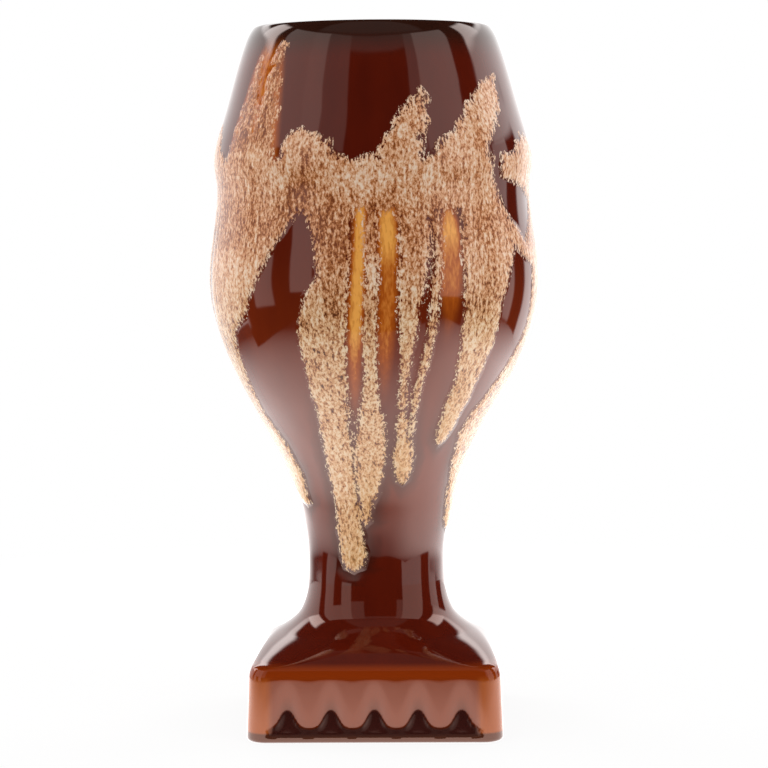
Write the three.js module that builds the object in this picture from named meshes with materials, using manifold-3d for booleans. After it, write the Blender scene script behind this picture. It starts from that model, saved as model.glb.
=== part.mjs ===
// A glazed ceramic vase: a slip-cast bowl on a stem, luted to a hollow square plinth with fluted
// faces, and a cream overglaze that has run down from a belt round the shoulder.
// Millimetres, +Z up. The origin is the middle of the square foot, and the front faces -Y.

import * as THREE from "three";
import { mergeVertices } from "three/addons/utils/BufferGeometryUtils.js";
import Module from "manifold-3d";

const VASE_HEIGHT = 250; // from the foot to the top of the lip

// Plinth
const PLINTH_WIDTH = 90; // across two faces at the foot
const PLINTH_HEIGHT = 26; // upright faces, up to where the shoulder turns in
const PLINTH_DRAFT = 1; // how far each face leans in by its top
const PLINTH_CORNER = 7; // radius of the upright corners
const PLINTH_WALL = 6;
const BASE_THICKNESS = 5;
const FOOT_EDGE = 1.5; // rounding of the lowest edge
const FOOT_RIM = 8; // width of the flat rim that the vase stands on
const FOOT_RECESS = 2; // how far the base stands clear inside the rim

// Flutes in each face of the plinth, which deepen downwards and run out into a groove
const FLUTE_COUNT = 5;
const FLUTE_MARGIN = 14.6; // from the side of the plinth to the middle of the outermost flute
const FLUTE_RADIUS = 5;
const FLUTE_DEPTH = 2.2;
const FLUTE_FOOT = 10.5; // height where a flute is deepest
const FLUTE_TOP = 20.5; // height where a flute fades out
const GROOVE_RADIUS = 2.4;
const GROOVE_DEPTH = 1.5;
const GROOVE_HEIGHT = 5.1;
const GROOVE_MARGIN = 8; // from the side of the plinth to the end of the groove

// The outline above the plinth's faces, stretch by stretch: its share of the height above them, the
// half width that it reaches, and the half width gained there for each millimetre of height. The last
// stretch, to the lip, takes what is left.
const SHOULDER_SHARE = 0.0348;
const SHOULDER_REACH = 35.2;
const SHOULDER_SLOPE = -1.7;
const FLARE_SHARE = 0.0321;
const FLARE_REACH = 27.3;
const FLARE_SLOPE = -0.48;
const NECK_SHARE = 0.0491;
const NECK_RADIUS = 24.8;
const STEM_SHARE = 0.125;
const STEM_RADIUS = 27.3;
const STEM_SLOPE = 0.16;
const CUP_SHARE = 0.1518;
const CUP_RADIUS = 42.7;
const CUP_SLOPE = 0.58;
const BELLY_SHARE = 0.2076;
const BELLY_RADIUS = 58.7;
const WAIST_SHARE = 0.1406;
const WAIST_RADIUS = 55.6;
const RIDGE_SHARE = 0.0424;
const RIDGE_RADIUS = 56.6;
const COLLAR_SHARE = 0.0915;
const COLLAR_RADIUS = 51.9;
const COLLAR_SLOPE = -0.29;
const LIP_TURN = 1.7; // from the last of the collar up to the top of the round lip
const LIP_RADIUS = 43.8;
const LIP_SLOPE = -0.34;

// Walls and the luted joint at the narrowest place of the neck
const BOWL_WALL = 5;
const ROUND_BELOW_JOINT = 18; // how far under the joint the flare has become fully round
const ROUNDING_POWER = 0.7; // less than 1, so that the corners round off fast just above the faces
const LUTE_THICKNESS = 1;
const SEAT_GAP = 0.3; // between bodies that touch in the fired vase

// Cream overglaze
const GLAZE_THICKNESS = 1.1;
const BELT_DROP = 13.5; // lower edge of the belt, under the ridge
const BELT_RISE = 4; // upper edge of the belt, above the ridge
const FLOW_TAPER = 3; // a run or peak narrower than this each side of its middle is thinner too

// Each peak: share of the way from the belt up to the lip, then the angles of its two sides, in degrees
// from the front towards +X. The last row is its tip.
const PEAKS = {
  left_outer_streak: [[0, -59, -48], [0.28, -57.5, -48.6], [0.561, -56, -50], [0.748, -53.5, -52.5]],
  left_inner_streak: [
    [0, -46.5, -36], [0.28, -46.5, -37], [0.561, -45.5, -38], [0.748, -43.5, -39], [0.841, -41.5, -40.5],
  ],
  front_hump: [[0, -31, -13], [0.07, -30, -15], [0.14, -27, -19], [0.187, -24.5, -23.5]],
  front_peak: [
    [0, 5, 21.5], [0.187, 8.5, 21.5], [0.327, 12.5, 22.5], [0.421, 17, 22.5], [0.467, 19.5, 20.5],
  ],
  right_peak: [
    [0, 25, 59], [0.093, 30.5, 58.5], [0.234, 36, 59], [0.374, 42, 60], [0.491, 48, 60.5],
    [0.607, 58, 59],
  ],
  back_right_peak: [[0, 100, 118], [0.164, 103, 116], [0.304, 107, 115], [0.397, 110.5, 111.5]],
  back_centre_peak: [[0, 140, 165], [0.21, 144, 163], [0.397, 149, 160], [0.561, 153.5, 154.5]],
  back_left_peak: [[0, 201, 222], [0.187, 205, 220], [0.35, 209, 217], [0.467, 212.5, 213.5]],
  left_side_peak: [[0, 240, 262], [0.14, 245, 260], [0.257, 250, 257], [0.327, 253, 254]],
};

// Each run: share of the way from the belt down to the luted joint, then the angles of its two sides
const RUNS = {
  left_sheet_run: [
    [0, -74, -26], [0.103, -75, -34], [0.162, -75, -39], [0.294, -75, -45], [0.353, -76, -50],
    [0.471, -78, -62], [0.551, -72, -62], [0.625, -67, -58], [0.721, -63, -54], [0.794, -60.5, -59.5],
  ],
  front_long_run: [
    [0, -23, -5.5], [0.118, -18.5, -5.8], [0.184, -18.5, -6.6], [0.25, -24, -7.3], [0.353, -26.4, -8.2],
    [0.456, -25.5, -9.4], [0.566, -26, -10.2], [0.713, -30, -11.5], [0.86, -28.5, -7.5], [0.934, -26, -8],
    [0.96, -17.5, -16.5],
  ],
  front_centre_run: [
    [0, -1, 3.2], [0.346, -2.4, 2.2], [0.441, -2.4, 2.2], [0.493, -3.9, 2.9], [0.566, -6.3, 5.9],
    [0.64, -8.5, 8.2], [0.713, -9, 5.7], [0.787, -8.5, 1.5], [0.835, -5.5, -4.5],
  ],
  front_bulb_run: [
    [0, 10, 19.6], [0.074, 10, 21], [0.199, 10, 19], [0.272, 10, 16.8], [0.353, 10.5, 15.8],
    [0.456, 11.6, 15], [0.529, 12.3, 15.4], [0.603, 12.6, 18.6], [0.662, 12, 23.2], [0.706, 14.5, 22.8],
    [0.728, 19, 20],
  ],
  front_thread_run: [
    [0, 20.6, 26], [0.118, 22.4, 25.8], [0.25, 20.8, 24.2], [0.353, 20, 23.2], [0.426, 19, 22],
    [0.493, 17.6, 20.4], [0.559, 18.4, 19.4],
  ],
  right_broad_run: [
    [0, 34.5, 58.5], [0.125, 33.5, 58.5], [0.191, 34, 54.5], [0.272, 34, 51.5], [0.353, 34.2, 51.4],
    [0.426, 35, 54], [0.5, 36.7, 54], [0.574, 37.5, 50], [0.625, 40, 41],
  ],
  right_edge_run: [
    [0, 67, 94], [0.051, 61.5, 94], [0.147, 73, 92], [0.331, 74, 88], [0.441, 68, 84], [0.551, 56.5, 73],
    [0.647, 58, 76], [0.721, 70, 85], [0.809, 75, 83], [0.868, 77, 78],
  ],
  back_right_run: [
    [0, 98, 124], [0.147, 100, 122], [0.331, 103, 119], [0.456, 104, 117], [0.544, 105, 115],
    [0.603, 110, 111],
  ],
  back_right_long_run: [
    [0, 128, 144], [0.184, 130, 142], [0.368, 131, 141], [0.588, 129, 142], [0.721, 130, 145],
    [0.809, 132, 144], [0.86, 138, 139],
  ],
  back_centre_run: [
    [0, 149, 176], [0.147, 151, 173], [0.294, 152, 168], [0.404, 153, 165], [0.493, 155, 163],
    [0.551, 158, 159],
  ],
  back_thin_run: [
    [0, 181, 190], [0.221, 182, 189], [0.404, 182, 188.5], [0.588, 181, 190], [0.684, 182, 191],
    [0.735, 186.5, 187.5],
  ],
  back_left_long_run: [
    [0, 196, 220], [0.147, 199, 219], [0.294, 202, 218], [0.441, 203, 218], [0.625, 202, 219],
    [0.772, 203, 223], [0.86, 206, 219], [0.897, 212, 213],
  ],
  back_left_run: [[0, 225, 250], [0.147, 228, 247], [0.309, 230, 243], [0.441, 232, 241], [0.5, 236, 237]],
  left_side_run: [
    [0, 255, 282], [0.162, 256, 280], [0.324, 258, 276], [0.441, 259, 273], [0.588, 261, 271],
    [0.662, 265.5, 266.5],
  ],
};

// How finely the round forms are cut into facets
const BOWL_SEGMENTS = 48;
const CORNER_STEPS = 8;
const HEIGHT_STEP = 7;
const FLOW_STEP = 7;
const INNER_STEP = 16;
const FLARE_STEP = 3;
const LIP_STEPS = 5;
const BELT_LEVELS = 5;
const FLUTE_SIDES = 12;
const FLUTE_CAP_STEPS = 3;
const LEAST_STEPS = 4; // along and across the smallest glaze run
const MERGE_DISTANCE = 1e-4; // vertices closer than this are one

const brownGlaze = new THREE.MeshStandardMaterial({ color: 0x4a1a10, roughness: 0.12, metalness: 0 });
const creamGlaze = new THREE.MeshStandardMaterial({ color: 0xdcb890, roughness: 0.3, metalness: 0 });
const firedSlip = new THREE.MeshStandardMaterial({ color: 0x6b3a24, roughness: 0.5, metalness: 0 });

// The outline as stations with absolute heights
const faceTop = PLINTH_WIDTH / 2 - PLINTH_DRAFT;
const stations = [{ place: "plinth", height: PLINTH_HEIGHT, reach: faceTop, slope: 0 }];
let stationHeight = PLINTH_HEIGHT;
for (const [place, share, reach, slope] of [
  ["shoulder", SHOULDER_SHARE, SHOULDER_REACH, SHOULDER_SLOPE],
  ["flare", FLARE_SHARE, FLARE_REACH, FLARE_SLOPE],
  ["neck", NECK_SHARE, NECK_RADIUS, 0],
  ["stem", STEM_SHARE, STEM_RADIUS, STEM_SLOPE],
  ["cup", CUP_SHARE, CUP_RADIUS, CUP_SLOPE],
  ["belly", BELLY_SHARE, BELLY_RADIUS, 0],
  ["waist", WAIST_SHARE, WAIST_RADIUS, 0],
  ["ridge", RIDGE_SHARE, RIDGE_RADIUS, 0],
  ["collar", COLLAR_SHARE, COLLAR_RADIUS, COLLAR_SLOPE],
]) {
  stationHeight += share * (VASE_HEIGHT - PLINTH_HEIGHT);
  stations.push({ place, height: stationHeight, reach, slope });
}
stations.push({ place: "lip", height: VASE_HEIGHT - LIP_TURN, reach: LIP_RADIUS, slope: LIP_SLOPE });
const heightOf = (place) => stations.find((station) => station.place === place).height;
const jointHeight = heightOf("neck");
const beltFoot = heightOf("ridge") - BELT_DROP;
const beltTop = heightOf("ridge") + BELT_RISE;

// Half width and slope of the outline at a height, by a cubic between two stations
function outlineAt(height) {
  let i = 0;
  while (i < stations.length - 2 && height > stations[i + 1].height) i += 1;
  const a = stations[i];
  const b = stations[i + 1];
  const span = b.height - a.height;
  const t = (height - a.height) / span;
  const s = 1 - t;
  const reach =
    (1 + 2 * t) * s * s * a.reach + t * s * s * span * a.slope +
    t * t * (3 - 2 * t) * b.reach - t * t * s * span * b.slope;
  const slope =
    (6 * t * s * (b.reach - a.reach)) / span + s * (1 - 3 * t) * a.slope + t * (3 * t - 2) * b.slope;
  return { reach, slope };
}

// A point of the inner wall, one wall's thickness square in from the outline at this height
function innerPoint(height, wall) {
  const { reach, slope } = outlineAt(height);
  const length = Math.hypot(1, slope);
  return new THREE.Vector2(reach - wall / length, height + (wall * slope) / length);
}

// Heights from one to another in even steps no longer than the given one
function heightsBetween(low, high, step) {
  const count = Math.ceil((high - low) / step);
  return Array.from({ length: count + 1 }, (_, k) => low + ((high - low) * k) / count);
}

// Sample heights that keep every station between two heights
function stationHeights(low, high, step) {
  const marks = [low, ...stations.map((s) => s.height).filter((h) => h > low && h < high), high];
  return marks.slice(1).flatMap((mark, k) => heightsBetween(marks[k], mark, step).slice(k === 0 ? 0 : 1));
}

// A closed surface through rings of equal, even counts, from the lowest up, with their points
// anticlockwise from above. Strips across the first and the last ring close the two ends.
function skin(rings) {
  const count = rings[0].length;
  const lastRing = (rings.length - 1) * count;
  const faces = [];
  for (let j = 0; j < count; j += 1) {
    const k = (j + 1) % count;
    for (let here = 0; here < lastRing; here += count) {
      const next = here + count;
      faces.push(here + j, here + k, next + k, here + j, next + k, next + j);
    }
  }
  for (let j = 0; j < count / 2; j += 1) {
    const k = j + 1;
    const acrossK = count - k;
    const acrossJ = (count - j) % count;
    if (acrossK !== k) {
      faces.push(acrossK, k, j);
      faces.push(lastRing + j, lastRing + k, lastRing + acrossK);
    }
    if (acrossJ !== j) {
      faces.push(acrossJ, acrossK, j);
      faces.push(lastRing + j, lastRing + acrossK, lastRing + acrossJ);
    }
  }
  const geometry = new THREE.BufferGeometry().setFromPoints(rings.flat());
  geometry.setIndex(faces);
  geometry.computeVertexNormals();
  return geometry;
}

// A square ring with round corners; a corner as large as the half width makes a circle
function squareRing(half, corner, height) {
  const flat = half - corner;
  const ring = [];
  for (let side = 0; side < 4; side += 1) {
    const start = (side * Math.PI) / 2;
    const centre = new THREE.Vector2(flat, flat).rotateAround(new THREE.Vector2(), start);
    for (let k = 0; k <= CORNER_STEPS; k += 1) {
      const angle = start + (k / CORNER_STEPS) * (Math.PI / 2);
      const x = centre.x + corner * Math.cos(angle);
      const y = centre.y + corner * Math.sin(angle);
      ring.push(new THREE.Vector3(x, y, height));
    }
  }
  return ring;
}

// A point on the round part of the vase: angle from the front, height, distance off the surface
function onSurface(degrees, height, lift) {
  const angle = THREE.MathUtils.degToRad(degrees);
  const radius = outlineAt(height).reach + lift;
  return new THREE.Vector3(radius * Math.sin(angle), -radius * Math.cos(angle), height);
}

const wasm = await Module();
wasm.setup();

// A closed geometry as a solid that can be cut
function toSolid(geometry) {
  const bare = geometry.clone();
  bare.deleteAttribute("normal");
  bare.deleteAttribute("uv");
  const merged = mergeVertices(bare, MERGE_DISTANCE);
  const index = merged.getIndex().array;
  const triangles = [];
  for (let i = 0; i < index.length; i += 3) {
    const [a, b, c] = index.slice(i, i + 3);
    if (a !== b && b !== c && c !== a) triangles.push(a, b, c);
  }
  return new wasm.Manifold(
    new wasm.Mesh({
      numProp: 3,
      vertProperties: new Float32Array(merged.getAttribute("position").array),
      triVerts: new Uint32Array(triangles),
    }),
  );
}

function fromSolid(solid) {
  const mesh = solid.getMesh();
  const geometry = new THREE.BufferGeometry();
  geometry.setAttribute("position", new THREE.BufferAttribute(new Float32Array(mesh.vertProperties), 3));
  geometry.setIndex(new THREE.BufferAttribute(new Uint32Array(mesh.triVerts), 1));
  geometry.computeVertexNormals();
  return geometry;
}

// The bowl and stem: one revolved wall of even thickness with a round lip
function bowlGeometry() {
  const foot = jointHeight + LUTE_THICKNESS / 2 + SEAT_GAP;
  const top = heightOf("lip");
  const outer = stationHeights(foot, top, HEIGHT_STEP).map((h) => new THREE.Vector2(outlineAt(h).reach, h));
  const inner = stationHeights(foot, top, INNER_STEP).map((h) => innerPoint(h, BOWL_WALL));
  inner[0].y = foot;
  const outerLip = outer[outer.length - 1];
  const innerLip = inner[inner.length - 1];
  const lipMiddle = outerLip.clone().add(innerLip).divideScalar(2);
  const lip = [];
  for (let k = 1; k < LIP_STEPS; k += 1) {
    lip.push(outerLip.clone().rotateAround(lipMiddle, (k / LIP_STEPS) * Math.PI));
  }
  const profile = [...outer, ...lip, ...inner.reverse(), outer[0].clone()];
  return new THREE.LatheGeometry(profile, BOWL_SEGMENTS).rotateX(Math.PI / 2);
}

// The slip that joins the castings, flush with the neck inside and out
function lutingGeometry() {
  const low = jointHeight - LUTE_THICKNESS / 2;
  const high = jointHeight + LUTE_THICKNESS / 2;
  const bore = NECK_RADIUS - BOWL_WALL;
  const profile = [
    new THREE.Vector2(NECK_RADIUS, low),
    new THREE.Vector2(NECK_RADIUS, high),
    new THREE.Vector2(bore, high),
    new THREE.Vector2(bore, low),
    new THREE.Vector2(NECK_RADIUS, low),
  ];
  return new THREE.LatheGeometry(profile, BOWL_SEGMENTS).rotateX(Math.PI / 2);
}

// Half width of a plinth face at a height
function faceAt(height) {
  return PLINTH_WIDTH / 2 - (PLINTH_DRAFT * height) / PLINTH_HEIGHT;
}

// Corner radius of the flare: the plinth's own at the faces, swelling to a full circle well under the joint
function cornerAt(height, half) {
  const rise = jointHeight - ROUND_BELOW_JOINT - PLINTH_HEIGHT;
  const t = THREE.MathUtils.clamp((height - PLINTH_HEIGHT) / rise, 0, 1);
  return THREE.MathUtils.lerp(PLINTH_CORNER, half, t ** ROUNDING_POWER);
}

// The plinth before its flutes: rings out over the foot, up the outside and down the hollow
function plinthBlank() {
  const top = jointHeight - LUTE_THICKNESS / 2 - SEAT_GAP;
  const footHalf = PLINTH_WIDTH / 2 - FOOT_EDGE;
  const footCorner = PLINTH_CORNER - FOOT_EDGE;
  const rimHalf = PLINTH_WIDTH / 2 - FOOT_RIM;
  const hollowCorner = PLINTH_CORNER - FOOT_EDGE;
  const floor = FOOT_RECESS + BASE_THICKNESS;
  const edgeTurn = FOOT_EDGE * (1 - Math.SQRT1_2);
  const rings = [
    squareRing(rimHalf - FOOT_RECESS, hollowCorner, FOOT_RECESS),
    squareRing(rimHalf, hollowCorner, 0),
    squareRing(footHalf, footCorner, 0),
    squareRing(PLINTH_WIDTH / 2 - edgeTurn, PLINTH_CORNER - edgeTurn, edgeTurn),
    squareRing(faceAt(FOOT_EDGE), PLINTH_CORNER, FOOT_EDGE),
  ];
  const heights = stationHeights(PLINTH_HEIGHT, top, FLARE_STEP);
  for (const height of heights) {
    const { reach } = outlineAt(height);
    rings.push(squareRing(reach, cornerAt(height, reach), height));
  }
  for (const height of heights.slice(1).reverse()) {
    const t = (height - PLINTH_HEIGHT) / (top - PLINTH_HEIGHT);
    const wall = THREE.MathUtils.lerp(PLINTH_WALL, BOWL_WALL, t);
    const point = innerPoint(height, wall);
    if (height === top) point.y = top;
    const share = cornerAt(height, outlineAt(height).reach) / outlineAt(height).reach;
    rings.push(squareRing(point.x, share * point.x, point.y));
  }
  const floorHalf = faceAt(floor) - PLINTH_WALL;
  rings.push(squareRing(floorHalf, hollowCorner, floor + FOOT_EDGE));
  rings.push(squareRing(floorHalf - FOOT_EDGE, hollowCorner, floor));
  return skin(rings);
}

// A round-ended cutter between two points
function roundCutter(start, end, radius) {
  const along = end.clone().sub(start);
  const cutter = new THREE.CapsuleGeometry(radius, along.length(), FLUTE_CAP_STEPS, FLUTE_SIDES);
  const turn = new THREE.Quaternion().setFromUnitVectors(THREE.Object3D.DEFAULT_UP, along.normalize());
  cutter.applyQuaternion(turn);
  const middle = start.clone().add(end).divideScalar(2);
  return cutter.translate(middle.x, middle.y, middle.z);
}

// Cutters for one face: flutes that lean in towards their foot, and the groove under them
function faceCutters() {
  const pitch = (PLINTH_WIDTH - 2 * FLUTE_MARGIN) / (FLUTE_COUNT - 1);
  const cutters = [];
  for (let k = 0; k < FLUTE_COUNT; k += 1) {
    const x = FLUTE_MARGIN - PLINTH_WIDTH / 2 + k * pitch;
    const foot = new THREE.Vector3(x, -(faceAt(FLUTE_FOOT) + FLUTE_RADIUS - FLUTE_DEPTH), FLUTE_FOOT);
    const top = new THREE.Vector3(x, -(faceAt(FLUTE_TOP) + FLUTE_RADIUS), FLUTE_TOP);
    cutters.push(roundCutter(foot, top, FLUTE_RADIUS));
  }
  const out = -(faceAt(GROOVE_HEIGHT) + GROOVE_RADIUS - GROOVE_DEPTH);
  const reach = PLINTH_WIDTH / 2 - GROOVE_MARGIN - GROOVE_RADIUS;
  const left = new THREE.Vector3(-reach, out, GROOVE_HEIGHT);
  const right = new THREE.Vector3(reach, out, GROOVE_HEIGHT);
  cutters.push(roundCutter(left, right, GROOVE_RADIUS));
  return cutters;
}

function plinthGeometry() {
  let plinth = toSolid(plinthBlank());
  for (let side = 0; side < 4; side += 1) {
    for (const cutter of faceCutters()) {
      plinth = plinth.subtract(toSolid(cutter.rotateZ((side * Math.PI) / 2)));
    }
  }
  return fromSolid(plinth);
}

// The belt of cream: a revolved lens-shaped section that follows the outline
function beltGeometry() {
  const shares = Array.from({ length: BELT_LEVELS }, (_, k) => k / (BELT_LEVELS - 1));
  const level = (share, lift) => {
    const height = THREE.MathUtils.lerp(beltFoot, beltTop, share);
    return new THREE.Vector2(outlineAt(height).reach + lift, height);
  };
  const outer = shares.map((share) => level(share, SEAT_GAP + GLAZE_THICKNESS * lens(share)));
  const inner = shares.slice(0, -1).reverse().map((share) => level(share, SEAT_GAP));
  return new THREE.LatheGeometry([...outer, ...inner], BOWL_SEGMENTS).rotateX(Math.PI / 2);
}

// Height of a glaze section at a share of the way across it
function lens(share) {
  return Math.sqrt(Math.sin(share * Math.PI));
}

// One run or peak of cream: level lens-shaped sections between its two sides, from an edge of the belt
// towards another height
function flowGeometry(rows, edge, end) {
  const direction = Math.sign(end - edge);
  const way = Math.abs(end - edge);
  const corners = rows.map(([share, left, right]) => new THREE.Vector3(left, right, share * way));
  const curve = new THREE.CatmullRomCurve3(corners);
  const length = corners[corners.length - 1].z;
  const levels = curve.getSpacedPoints(Math.max(LEAST_STEPS, Math.ceil(length / FLOW_STEP)));
  const widest = Math.max(...rows.map(([, left, right]) => right - left));
  const across = Math.max(LEAST_STEPS, Math.ceil((widest * BOWL_SEGMENTS) / 360));
  const shares = Array.from({ length: across + 1 }, (_, k) => k / across);
  const rings = levels.map(({ x: left, y: right, z: away }) => {
    const height = edge + direction * (SEAT_GAP + away);
    const halfWidth = THREE.MathUtils.degToRad((right - left) / 2) * outlineAt(height).reach;
    const thickness = GLAZE_THICKNESS * Math.min(1, halfWidth / FLOW_TAPER);
    const point = (share, lift) => onSurface(THREE.MathUtils.lerp(left, right, share), height, lift);
    const outer = shares.map((share) => point(share, SEAT_GAP + thickness * lens(share)));
    const inner = shares.slice(1, -1).reverse().map((share) => point(share, SEAT_GAP));
    return [...outer, ...inner];
  });
  return skin(direction < 0 ? rings.reverse() : rings);
}

const vase = new THREE.Group();
function addPiece(name, geometry, material) {
  const piece = new THREE.Mesh(geometry, material);
  piece.name = name;
  vase.add(piece);
}

addPiece("bowl_casting", bowlGeometry(), brownGlaze);
addPiece("plinth_casting", plinthGeometry(), brownGlaze);
addPiece("luting_slip", lutingGeometry(), firedSlip);
addPiece("cream_belt", beltGeometry(), creamGlaze);
for (const [name, rows] of Object.entries(PEAKS)) {
  addPiece(name, flowGeometry(rows, beltTop, heightOf("lip")), creamGlaze);
}
for (const [name, rows] of Object.entries(RUNS)) {
  addPiece(name, flowGeometry(rows, beltFoot, jointHeight), creamGlaze);
}

export default vase;
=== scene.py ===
"""A glazed ceramic vase on a fluted square plinth, with a cream overglaze that has run down its bowl.

Sizes of the vase are millimetres until a mesh is made, and the table and the camera are in metres. Angles
round the vase are degrees from the front (-Y) towards +X.
"""

import math

import bpy
import numpy as np
from mathutils import Matrix, Vector, noise


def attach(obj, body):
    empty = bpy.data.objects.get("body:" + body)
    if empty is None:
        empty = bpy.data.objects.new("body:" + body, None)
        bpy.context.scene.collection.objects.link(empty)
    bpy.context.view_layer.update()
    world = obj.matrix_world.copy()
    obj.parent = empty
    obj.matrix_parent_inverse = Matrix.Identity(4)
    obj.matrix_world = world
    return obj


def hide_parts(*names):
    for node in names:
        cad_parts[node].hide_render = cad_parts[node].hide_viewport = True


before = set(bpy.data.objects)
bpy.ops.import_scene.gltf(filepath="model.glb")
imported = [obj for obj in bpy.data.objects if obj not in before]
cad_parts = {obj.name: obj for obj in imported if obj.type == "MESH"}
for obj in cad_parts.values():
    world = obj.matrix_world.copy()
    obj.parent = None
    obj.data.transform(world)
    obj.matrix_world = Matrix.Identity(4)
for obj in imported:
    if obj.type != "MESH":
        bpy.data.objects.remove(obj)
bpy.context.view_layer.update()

MM = 0.001

# Outline of the vase: height, half width, half width gained for each millimetre of height
OUTLINE = np.array(
    [
        (26.0, 43.0, -0.65),
        (33.8, 35.2, -1.7),
        (41.0, 27.3, -0.48),
        (52.0, 24.9, -0.04),
        (60.0, 24.75, 0.0),
        (80.0, 27.3, 0.17),
        (114.0, 42.7, 0.58),
        (160.5, 58.7, 0.0),
        (192.0, 55.6, 0.0),
        (201.5, 56.6, 0.0),
        (222.0, 51.9, -0.29),
        (243.0, 45.6, -0.36),
        (249.0, 42.7, -0.75),
    ]
)
JOINT_HEIGHT = 52.0
LIP_HEIGHT = 249.0
BOWL_WALL = 5.0

# Bead of slip inside the joint
SLIP_HALF_HEIGHT = 3.2
SLIP_BULGE = 1.1
SLIP_SUNK = 0.3  # its edges lie this deep in the wall
SLIP_ROOT = 0.8  # and its back this deep

# Square plinth, and its flare up to the joint
PLINTH_HALF = 45.0
PLINTH_HEIGHT = 26.0
PLINTH_DRAFT = 1.0
PLINTH_CORNER = 7.0
PLINTH_WALL = 6.0
ROUND_FROM = 22.0  # from here up the faces round off to the top edge
FLARE_ROUND_AT = 34.0  # from here up the flare is a circle
FLARE_SWELL = 0.7  # power by which its corners swell to that
FOOT_EDGE = 1.5
FOOT_RIM = 8.0
FOOT_RECESS = 2.0
BASE_TOP = 7.0
INNER_CORNER = 5.5

# Flutes of a face, the cove along their feet, and the dish between them
FLUTED_HALF = 35.0  # the flutes have their full depth up to here
FLUTES_END = 37.8  # and are gone from here on
FLUTE_SIZES = {
    "Flute Pitch": 15.2,
    "Flute Width": 3.3,
    "Flute Depth": 1.3,
    "Flute Rise": 6.4,
    "Arch Rise": 12.5,
    "Cove Foot": 2.7,
    "Cove Crest": 5.1,
    "Cove Top": 9.0,
    "Cove Depth": 0.95,
    "Softness": 0.4,
    "Dish Top": 21.2,
    "Dish Wave": 1.6,
    "Dish Slope": 0.05,
}

# Belt of cream, and two humps of its crest as middle angle, half width and rise
BELT_FOOT = 188.0
BELT_TOP = 205.5
BELT_CREST = 203.0
BELT_HUMPS = [(74, 11, 8), (-79, 8, 12)]
BELT_UNDERLAP = 3.5  # it reaches this far down between the runs
PEAK_REACH = 4.0  # cream above the belt goes with a peak that is nearer than this

# Peaks above the belt and runs below it, as height and the angles of the two sides
PEAKS = {
    "left_outer_streak": [(202, -60, -47), (212, -58.5, -47.5), (225, -56.5, -49.6), (238.5, -53, -52)],
    "left_inner_streak": [
        (202, -48, -34), (213, -47, -36.5), (224, -45.5, -37.6), (236, -44, -38.2), (241.5, -41, -39.5),
    ],
    "front_hump": [(200, -33, -9), (205, -32, -11.5), (209.4, -30.5, -15), (213, -26, -24)],
    "front_peak": [(201, 2, 18), (208, 5, 19.5), (215.6, 9.8, 21.5), (222, 15.6, 23), (225, 20, 21)],
    "right_peak": [
        (202, 20, 53), (208.3, 26.5, 49), (213, 32.5, 53.5), (219, 38.5, 57), (224.5, 43.5, 59.8),
        (228, 50, 60), (231.5, 59.4, 60.2),
    ],
    "back_right_peak": [(202, 98, 120), (212, 103, 116), (218, 107, 115), (223, 110.5, 111.5)],
    "back_centre_peak": [(202, 138, 167), (214, 144, 163), (222, 149, 160), (230, 153.5, 154.5)],
    "back_left_peak": [(202, 199, 224), (213, 205, 220), (220, 209, 217), (226, 212.5, 213.5)],
    "left_side_peak": [(202, 238, 264), (211, 245, 260), (216, 250, 257), (220, 253, 254)],
}
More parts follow.
